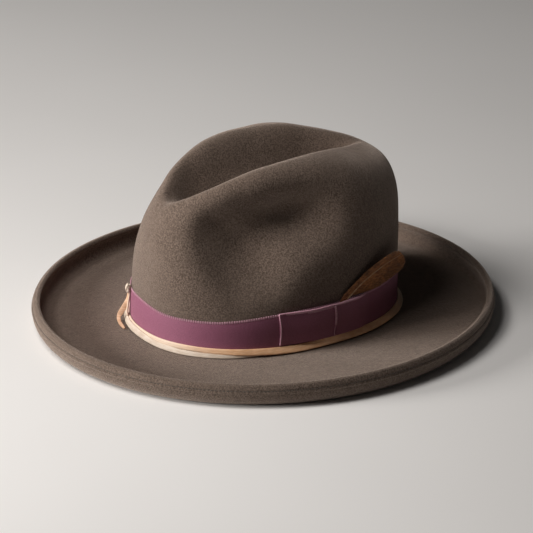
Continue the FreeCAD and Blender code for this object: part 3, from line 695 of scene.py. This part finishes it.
band_length = ring_length(20.0, RIBBON_FACE)
rib_count = int(band_length / RIB_PITCH)
band_theta = even_thetas(rib_count * RIB_STEPS)
band_ribs = ribs(rib_count)
slack = 0.12 * np.sin(3.0 * band_theta + 0.7) + 0.1 * np.sin(7.0 * band_theta)
band_foot, band_tall = ribbon_foot(band_theta), ribbon_top(band_theta) - ribbon_foot(band_theta)
band_rows = []
for z, out, share in ribbon_section(RIBBON_FOOT, RIBBON_TOP, RIBBON_GAP, RIBBON_THICK):
    height = (z - RIBBON_FOOT) / (RIBBON_TOP - RIBBON_FOOT)
    give = (0.05 + 0.2 * abs(height - 0.5)) * slack * (share > 0)
    band_rows.append(wall(band_theta, band_foot + height * band_tall, out + share * band_ribs + give))
band_pile = Pile().hoop(np.array(band_rows))
band = finish_piece(band_pile.build("ribbon", RIBBON), "hat", "ribbon", "ribbon_band")


def bow_stand(degrees_round):
    """How far the bow stands off the ribbon: flat in front, a pocket for the quill, then down again."""
    opening = ease((degrees_round - BOW_FRONT - 2.0) / 16.0)
    closing = ease((degrees_round - BOW_END + 7.0) / 7.0)
    return mix(mix(BOW_GAP, POCKET, opening), END_GAP, closing)


def bow_part(name, first, last, swell, node):
    """Strip of the bow's ribbon between two angles round the crown, closed at its ends."""
    long = ring_length(20.0, RIBBON_FACE + POCKET) * (last - first) / 360.0
    count = int(long / RIB_PITCH)
    columns = np.radians(np.linspace(first, last, count * RIB_STEPS))
    stand = RIBBON_FACE + bow_stand(np.degrees(columns))
    high = ribs(count)
    t = np.linspace(0.0, 1.0, len(columns))
    rows = []
    for z, out, share in ribbon_section(BOW_FOOT - BOW_LOWER, BOW_TOP, 0.0, RIBBON_THICK):
        belly = swell * np.sin(pi * t) * sin(pi * np.clip((z - BOW_FOOT) / (BOW_TOP - BOW_FOOT), 0.0, 1.0))
        rows.append(wall(columns, z, stand + out + share * high + belly))
    pile = Pile().rod(np.array(rows).transpose(1, 0, 2))
    return finish_piece(pile.build(name, RIBBON), "hat", "ribbon", node), long


bow, bow_long = bow_part("bow", BOW_FRONT, BOW_SEAM, 0.35, "bow_panel")
bow_end, bow_end_long = bow_part("bow_end", BOW_SEAM + 0.4, BOW_END, 0.25, "bow_tail")


def twisted(pile, path, hint, radius, pitch, plies=2):
    """Cord of plies wound round a path."""
    run = travel(path)
    fine = np.linspace(0.0, run[-1], max(int(run[-1] / pitch * 8), 12))
    centre = np.stack([np.interp(fine, run, path[:, k]) for k in range(3)], -1)
    _, out, across = frames_along(centre, np.broadcast_to(hint, centre.shape))
    for ply in range(plies):
        a = 2.0 * pi * (fine / pitch + ply / plies)
        line = centre + 0.5 * radius * (np.cos(a)[:, None] * out + np.sin(a)[:, None] * across)
        pile.rod(tube(line, 0.56 * radius, 6, hint))


def top_edge(first, last, count, stand, z):
    t = np.radians(np.linspace(first, last, count))
    return wall(t, z, stand(np.degrees(t)))


PICOT_PITCH, PICOT_RADIUS, PICOT_OUT = 1.9, 0.34, 0.55
picots = int(band_length / PICOT_PITCH)
picot_reach = np.array([-0.16, -0.16, -0.1, 0.0, 0.1, 0.16, 0.16]) * 2.0 * pi / picots
picot_rise = np.array([-0.7, 0.2, 0.85, 1.0, 0.85, 0.2, -0.7])
edge_pile = Pile()
for start in even_thetas(picots):
    path = wall(start + picot_reach, ribbon_top(start) + picot_rise, RIBBON_GAP + PICOT_OUT)
    out_here = unit(path[3] * [1.0, 1.0, 0.0])
    edge_pile.rod(tube(path, PICOT_RADIUS, 6, out_here))
finish_piece(edge_pile.build("ribbon_picots", RIBBON_THREAD), "hat", "ribbon_thread")

out_left = np.array([1.0, 0.0, 0.0])
THREAD_RADIUS, THREAD_TWIST, THREAD_OUT = 0.66, 1.9, 0.45
EDGE_STEPS = 60


def on_panel(degrees_round):
    """Middle of the bow's ribbon, out from the crown."""
    return RIBBON_FACE + bow_stand(degrees_round) + 0.5 * RIBBON_THICK


def off_panel(degrees_round):
    return on_panel(degrees_round) + THREAD_OUT


edging = Pile()
for drop, first in ((0.0, BOW_FRONT), (0.85, BOW_FRONT + 3.0), (1.6, BOW_FRONT + 12.0)):
    lift = 0.35 * ease((np.linspace(first, BOW_SEAM, EDGE_STEPS) + 5.0) / 10.0)
    line = top_edge(first, BOW_SEAM, EDGE_STEPS, off_panel, BOW_TOP + 0.35 - drop + lift)
    twisted(edging, line, out_left, THREAD_RADIUS, THREAD_TWIST)
smooth_edge = top_edge(BOW_SEAM + 0.2, BOW_END - 0.6, 40, on_panel, BOW_TOP + 0.2)
taper = np.interp(np.linspace(0.0, 1.0, 40), [0.0, 0.25, 0.6, 0.9, 1.0], [0.7, 1.0, 1.05, 0.8, 0.5])
edging.rod(tube(smooth_edge, taper, 10, out_left))
heights = np.linspace(BOW_FOOT - BOW_LOWER + 0.2, BOW_TOP, 26)
bulge = radians(0.5) * np.sin(pi * (heights - BOW_FOOT) / (BOW_TOP - BOW_FOOT))
front_edge = wall(radians(BOW_FRONT) + bulge, heights, RIBBON_FACE + 0.6)
edging.rod(tube(front_edge, THREAD_RADIUS, 10, out_left))
finish_piece(edging.build("bow_edging", RIBBON_THREAD), "hat", "ribbon_thread")

seam = Pile()
seam_z = np.linspace(BOW_TOP - 0.4, BOW_FOOT - BOW_LOWER + 0.3, 48)
seam_lean = radians(0.35) * np.sin(pi * (seam_z - 20.0) / 14.0) - radians(0.7) * ease((20.0 - seam_z) / 9.0)
seam_out = RIBBON_FACE + POCKET + RIBBON_THICK + THREAD_OUT
seam_line = wall(radians(BOW_SEAM + 0.2) + seam_lean, seam_z, seam_out)
SEAM_KNOT = 29                  # below this step of the seam only one thin thread runs on
twisted(seam, seam_line[:SEAM_KNOT + 1], out_left, 0.95, THREAD_TWIST)
twisted(seam, seam_line[SEAM_KNOT:], out_left, 0.42, 2.6)
finish_piece(seam.build("bow_seam_thread", RIBBON_THREAD), "hat", "ribbon_thread", "bow_stitches")


# ---------------------------------------- lace round the foot of the ribbon
def beside(t, z, out):
    """Points of a strap at the crown's foot: out from the wall, at any height."""
    p = wall(t, np.full(np.shape(out), 9.0), out)
    p[..., 2] = z
    return p


def ring_strap(name, finish, slot, z, out, wide, thick, turn, node):
    """Closed strap; its place, size and turn all follow the angle round the crown."""
    t = even_thetas(420, z=10.0)
    d = np.degrees(t)
    zc, oc, w, k, a = z(d), out(d), wide(d), thick(d), np.radians(turn(d))
    rows = []
    for x, y in section(1.0, 1.0, 0.24, 3):
        across, outward = x * w, y * k
        rows.append(beside(t, zc + across * np.cos(a) - outward * np.sin(a),
                           oc + across * np.sin(a) + outward * np.cos(a)))
    finish_piece(Pile().hoop(np.array(rows)).build(name, finish), "hat", slot, node)


def wander(d, amount, *waves):
    """Small wobble made of waves, each so many to a turn."""
    return amount * sum(np.sin(np.radians(d * k) + 1.7 * k) for k in waves) / len(waves)


def sunk(d):
    """On the wearer's left the upper turn slips down over the rounding of the brim break."""
    return window(d, -32.0, 112.0, 50.0)


def tucked(d):
    """There the lower turn goes in behind it."""
    return window(d, -27.0, 112.0, 30.0)


def covered(d):
    """In front of the knot's side the lower turn rides up and hides the upper one."""
    return window(d, -140.0, -78.0, 44.0)


def along_lace(base, wobble=(0.0, 1), at_left=0.0, at_knot=0.0, left=sunk):
    """Value that follows the angle round the crown: base, its change on the wearer's left and at the knot."""
    def value(d):
        return base + at_left * left(d) + at_knot * covered(d) + wander(d, *wobble)
    return value


LACE_WIDE, LACE_THICK = 3.9, 1.4
ring_strap("lace_upper_strap", LACE_UPPER, "lace_tan",
           z=along_lace(9.25, (0.18, 3, 7, 11), -2.95, -1.5),
           out=along_lace(RIBBON_FACE + 1.1, (0.06, 5, 9), 1.2, -0.3),
           wide=along_lace(LACE_WIDE, (0.15, 4, 13), 2.0, -0.6),
           thick=along_lace(LACE_THICK),
           turn=along_lace(-5.0, (2.0, 5, 8), -39.0), node="lace_upper")
ring_strap("lace_lower_strap", LACE_CREAM, "lace_cream",
           z=along_lace(5.2, (0.12, 4, 9), 0.5, 1.1, tucked),
           out=along_lace(3.15, (0.08, 6), -1.95, 0.7, tucked),
           wide=along_lace(LACE_WIDE, (0.12, 5, 12), -2.3, 1.3, tucked),
           thick=along_lace(LACE_THICK, at_left=-0.8, left=tucked),
           turn=along_lace(-25.0, (2.0, 4, 7), 8.0, left=tucked), node="lace_lower")

# height up the crown and distance out from it
RISER = np.array([(8.6, 3.2), (10.0, 3.5), (11.8, 3.5), (14.5, 3.3), (18.5, 2.9), (22.5, 2.35), (26.2, 1.9),
                  (29.0, 2.0)])
RISER_STEPS, RISER_WIDE, RISER_THICK = 36, 3.3, 1.3
riser_at = np.linspace(0, len(RISER) - 1, RISER_STEPS)
riser_z, riser_out = (np.interp(riser_at, range(len(RISER)), column) for column in RISER.T)
riser_turn = radians(0.9) * np.sin(np.linspace(0.0, 2.6, RISER_STEPS))
riser_line = wall(KNOT_THETA - riser_turn, riser_z, riser_out)
knot_face = unit(riser_line[-1] * [1.0, 1.0, 0.0])
riser_hint = np.broadcast_to(knot_face, riser_line.shape)
riser_pile = Pile().rod(strap(riser_line, riser_hint, RISER_WIDE, RISER_THICK))
finish_piece(riser_pile.build("lace_riser_strap", LACE_UPPER), "hat", "lace_tan", "lace_riser")


# ---------------------------------------- knot of the lace
knot_up = np.array([0.0, 0.0, 1.0])
knot_side = np.cross(knot_up, knot_face)
knot_low, knot_high = node_box("lace_knot")
knot_middle = 0.5 * (knot_low + knot_high) - 0.5 * knot_face
KNOT_CORNER = 0.5


def by_knot(side, face, rise):
    """Points beside, in front of and above the knot's middle."""
    return knot_middle + side[:, None] * knot_side + face[:, None] * knot_face + rise[:, None] * knot_up


knot_pile = Pile()
u = np.linspace(-0.1, 1.12, 60) * 2.0 * pi
coil_out = np.cos(u)[:, None] * knot_side + np.sin(u)[:, None] * knot_face
for tilt, size, height in ((0.5, 1.0, 0.9), (-0.45, 0.92, -1.3)):
    turns = by_knot(1.75 * size * np.cos(u), 1.35 * size * np.sin(u), height + tilt * np.cos(u + 0.6))
    coil = strap(turns, coil_out, 3.6 * size - 0.4 * np.cos(u), 1.25, KNOT_CORNER)
    knot_pile.rod(coil)
v = np.linspace(-0.5, 0.5, 40)
tuck = by_knot(1.2 * np.sin(2.6 * v), 1.75 * np.cos(2.7 * v), 8.0 * v)
over = strap(tuck, np.broadcast_to(knot_face, tuck.shape), 3.2 - 1.2 * np.abs(v), 1.2, KNOT_CORNER)
knot_pile.rod(over)
finish_piece(knot_pile.build("lace_knot_turns", LACE_CREAM), "hat", "lace_cream", "lace_knot")


# ---------------------------------------- feather
ANCHOR = np.array([80.4, 29.2, 36.9])           # where the quill comes out over the ribbon
TURN, LIFT, DROOP = radians(7.0), radians(36.8), 0.0041
shaft = np.array([-sin(TURN) * cos(LIFT), cos(TURN) * cos(LIFT), sin(LIFT)])
outward = np.array([cos(TURN), sin(TURN), 0.0])
upward = unit(np.cross(outward, shaft))
TUCKED, SHOWN = 26.0, 55.5
BARB_PITCH, BARB_RADIUS = 0.32, 0.3
# place along the shaft and the web's width there
UPPER_WEB = np.array([(-17.0, 2.0), (-13.0, 8.4), (-9.0, 7.6), (-3.0, 5.6), (4.0, 4.9), (16.0, 5.3),
                      (26.0, 5.9), (36.0, 6.0), (45.0, 6.3), (50.5, 6.2), (54.0, 4.2), (SHOWN, 1.4)])
LOWER_WEB = np.array([(2.0, 0.9), (6.0, 3.2), (12.5, 8.6), (18.5, 12.0), (25.0, 14.4), (33.0, 14.8),
                      (42.0, 14.6), (48.5, 12.8), (53.0, 8.6), (SHOWN, 1.4)])


def on_feather(along, across, out):
    """Point of the feather: its shaft droops, and the vane bows a little away from the crown."""
    bow_out = 0.9 * ease(along / SHOWN) * (along / SHOWN)
    along, across, out = np.broadcast_arrays(along, across, out + bow_out)
    across = across - DROOP * np.maximum(along, 0.0) ** 2
    return ANCHOR + along[..., None] * shaft + across[..., None] * upward + out[..., None] * outward


def web(pile, outline, side, first, seed, last=SHOWN - 0.9):
    """Barbs from the shaft to the web's edge, lying close, with a few small splits."""
    rng = np.random.default_rng(seed)
    count = int((last - first) / BARB_PITCH)
    t = np.linspace(0.0, 1.0, 9)
    tip_jitter = rng.normal(0.0, 0.22, count)
    for _ in range(3):
        split = rng.integers(8, count - 8)
        tip_jitter[split:split + 3] += 0.7
    for i in range(count):
        root = first + BARB_PITCH * i
        lean = mix(1.75, 0.35, ease((root - first) / (last - first)))
        reach = np.interp(root + 4.0, outline[:, 0], outline[:, 1])
        tip_along = min(root + lean * reach + tip_jitter[i], SHOWN + 0.4)
        width = np.interp(tip_along, outline[:, 0], outline[:, 1]) + 0.12 * rng.normal()
        along = root + (tip_along - root) * (0.72 * t + 0.28 * t * t)
        across = side * max(width, 0.15) * (1.25 * t - 0.25 * t * t)
        camber = 0.27 * np.sin(pi * t) * side + 0.12 * rng.normal() * t
        path = on_feather(along, across, camber)
        fat = BARB_RADIUS * (1.0 - 0.45 * t)
        pile.rod(tube(path, fat, 4, outward, 0.4))


vane = Pile()
web(vane, UPPER_WEB, 1.0, -17.0, 11)
web(vane, LOWER_WEB, -1.0, 0.5, 12)
finish_piece(vane.build("feather_barbs", FEATHER), "feather", "feather", "feather_vane")

SHAFT_STEPS = 60
shaft_line = on_feather(np.linspace(-TUCKED, SHOWN - 2.0, SHAFT_STEPS), 0.0, 0.0)
shaft_radius = np.interp(np.linspace(0, 1, SHAFT_STEPS), [0, 0.3, 1], [0.55, 0.8, 0.22])
shaft_pile = Pile().rod(tube(shaft_line, shaft_radius, 10, outward))
finish_piece(shaft_pile.build("feather_shaft", QUILL), "feather", "quill", "feather_quill")


# ---------------------------------------- sweatband and its stitches
leather_theta = even_thetas(360)
ROLL_IN = 0.55


def leather_face(z, out):
    """Faces of the sweatband: it rolls in a little at its free top edge."""
    lean = -ROLL_IN * ease((z - 36.0) / 10.0)
    wave = 0.16 * np.sin(5.0 * leather_theta) + 0.12 * np.sin(11.0 * leather_theta + 0.8)
    return wall(leather_theta, z, out + lean + wave * ease((z - 6.0) / 12.0))


outer_face, inner_face = SWEAT_FACE - 0.1, SWEAT_FACE - SWEAT_THICK
leather_rows = [leather_face(z, inner_face) for z in np.linspace(SWEAT_FOOT + 0.3, SWEAT_TOP - 0.3, 26)]
leather_rows.append(leather_face(SWEAT_TOP, 0.5 * (inner_face + outer_face)))
leather_rows += [leather_face(z, outer_face) for z in np.linspace(SWEAT_TOP - 0.3, SWEAT_FOOT + 0.3, 14)]
leather_rows.append(leather_face(SWEAT_FOOT, 0.5 * (inner_face + outer_face)))
leather_pile = Pile().hoop(np.array(leather_rows))
finish_piece(leather_pile.build("sweatband_leather", LEATHER), "hat", "sweat_leather", "sweatband")

FOOT_SEAM = 4.4                 # height of the stitches that hold the leather to the felt
foot_theta = np.linspace(0.0, 2.0 * pi, 1441)
foot_long = travel(wall(foot_theta, FOOT_SEAM, inner_face))


def foot_place(turns, out):
    t = np.interp((turns % 1.0) * foot_long[-1], foot_long, foot_theta)
    return wall(t, FOOT_SEAM, inner_face - 0.2 - out)


foot_pile = Pile()
stitches(foot_pile, foot_place, 200, 0.7, 0.26, 0.35)
finish_piece(foot_pile.build("sweatband_stitches", WELT_THREAD), "hat", "welt_thread", "sweatband_thread")


# ---------------------------------------- satin lining
LINING_OUT, LINING_THICK = CROWN_FELT + 0.3, 0.4
LINING_FOOT, LINING_FREE, LINING_STAND = radians(18.5), radians(26.0), 0.6
SIDE_FOLD, TIP_FOLD = 1.1, 0.25


def lining_grid(phis, columns, fold, count):
    """Two faces of the satin, flat behind the leather at its foot; fold(phi) is the depth of its gathers."""
    t = np.linspace(0.0, 2.0 * pi, columns, endpoint=False)
    outer, inner = [], []
    for phi in phis:
        p = np.full(columns, phi)
        free = ease((phi - LINING_FOOT) / (LINING_FREE - LINING_FOOT))
        skin, normal = crown(t, p), crown_normal(t, p)
        waves = np.sin(count * t + 2.4 * np.sin(3.0 * t) + 1.3 * np.sin(7.0 * t))
        gather = LINING_STAND * free + free * fold(phi) * (0.5 + 0.5 * waves)
        outer.append(skin - normal * (LINING_OUT + gather)[:, None])
        inner.append(skin - normal * (LINING_OUT + LINING_THICK + gather)[:, None])
    return outer, inner


def side_fold(phi):
    return SIDE_FOLD * ease((radians(44.0) - phi) / 0.45)


def tip_fold(phi):
    return TIP_FOLD * ease((phi - 0.83) / 0.2) * ease((1.45 - phi) / 0.2)


side_phis = np.radians(np.linspace(13.8, 46.8, 30))
side_outer, side_inner = lining_grid(side_phis, 720, side_fold, 64)
side_pile = Pile().hoop(np.array(side_outer + side_inner[::-1]))
finish_piece(side_pile.build("lining_side_satin", LINING), "hat", "lining", "lining_side")

tip_phis = np.radians(np.linspace(47.6, 86.0, 34))
tip_outer, tip_inner = lining_grid(tip_phis, 360, tip_fold, 9)
tip_pile = Pile().rod(np.array(tip_outer[::-1] + tip_inner))
finish_piece(tip_pile.build("lining_tip_satin", LINING), "hat", "lining", "lining_tip")


# ---------------------------------------- small bow on the sweatband's back seam
bow_centre = wall(0.5 * pi, 9.5, inner_face - 0.9)
LOOP_WIDE, LOOP_THICK, LOOP_CORNER = 4.2, 0.22, 0.08
WRAP_HALF, WRAP_THICK = 0.9, 0.25
little = Pile()
a = np.linspace(0.15, 2.0 * pi - 0.15, 30)
loop_wide = LOOP_WIDE - 1.6 * np.exp(-((a - pi) / 2.6) ** -2)
for side_sign in (-1.0, 1.0):
    across, ahead = side_sign * (3.4 - 3.2 * np.cos(a)), -0.45 * np.sin(a) - 0.1
    loop = bow_centre + np.stack([across, ahead, 0.5 * np.sin(0.5 * a) - 0.3], -1)
    loop_out = unit(np.cross([0.0, 0.0, 1.0], np.gradient(loop, axis=0)))
    little.rod(strap(loop, loop_out, loop_wide, LOOP_THICK, LOOP_CORNER))
a = np.linspace(0.0, 2.0 * pi, 24, endpoint=False)
ring = np.stack([0.0 * a, np.cos(a), np.sin(a)], -1)
wrap = bow_centre + np.stack([0.0 * a, 0.75 * np.cos(a) - 0.1, 2.0 * np.sin(a)], -1)
inside = wrap - WRAP_THICK * ring
half = np.array([WRAP_HALF, 0.0, 0.0])
little.hoop(np.stack([wrap - half, wrap + half, inside + half, inside - half]))
finish_piece(little.build("sweatband_bow_loops", RIBBON), "hat", "ribbon", "sweatband_bow")


kept_finishes = {"sweatband_reed": REED, "reed_tape": TAPE, "size_tab": TAB, "lining_piping": TAPE}
for node, finish in kept_finishes.items():
    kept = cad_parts[node]
    kept.data.materials.clear()
    kept.data.materials.append(finish)


# ---------------------------------------- floor and light
FLOOR, FLOOR_DROP = 9000.0, -0.05
floor_steps = np.linspace(-FLOOR, FLOOR, 9)
gx, gy = np.meshgrid(floor_steps, floor_steps)
floor_grid = np.stack([gx, gy, np.full_like(gx, FLOOR_DROP)], -1)
floor_finish = plain_finish("floor", 0.85, (0.86, 0.855, 0.85), (0.90, 0.895, 0.89), 600.0, 0.0)
floor = mesh("floor", floor_grid.reshape(-1, 3), quads(9, 9), floor_finish)

SKY_COLOUR, SKY_STRENGTH = (1.0, 0.97, 0.94, 1.0), 0.02
world = bpy.data.worlds.new("studio")
bpy.context.scene.world = world
world.use_nodes = True
sky = world.node_tree.nodes["Background"]
sky.inputs["Color"].default_value = SKY_COLOUR
sky.inputs["Strength"].default_value = SKY_STRENGTH


LIGHT_TINT = (1.0, 0.96, 0.92)
AIM_HEIGHT = 0.06               # metres


def soft_light(name, azimuth, height, distance, size, power):
    """Round area light facing the hat, in metres and watts; azimuth is measured from +X towards +Y."""
    data = bpy.data.lights.new(name, "AREA")
    data.shape = "DISK"
    data.size = size
    data.energy = power
    data.color = LIGHT_TINT
    lamp = bpy.data.objects.new(name, data)
    way = Vector((cos(azimuth) * cos(height), sin(azimuth) * cos(height), sin(height)))
    lamp.location = way * distance + Vector((0.0, 0.0, AIM_HEIGHT))
    lamp.rotation_euler = way.to_track_quat("Z", "Y").to_euler()
    bpy.context.scene.collection.objects.link(lamp)


soft_light("side", radians(253.0), radians(12.0), 2.2, 0.7, 45.0)
soft_light("front", radians(255.0), radians(45.0), 2.2, 0.7, 17.0)
soft_light("near", radians(270.0), radians(60.0), 0.8, 0.4, 2.3)
bpy.context.scene.view_settings.view_transform = "Standard"
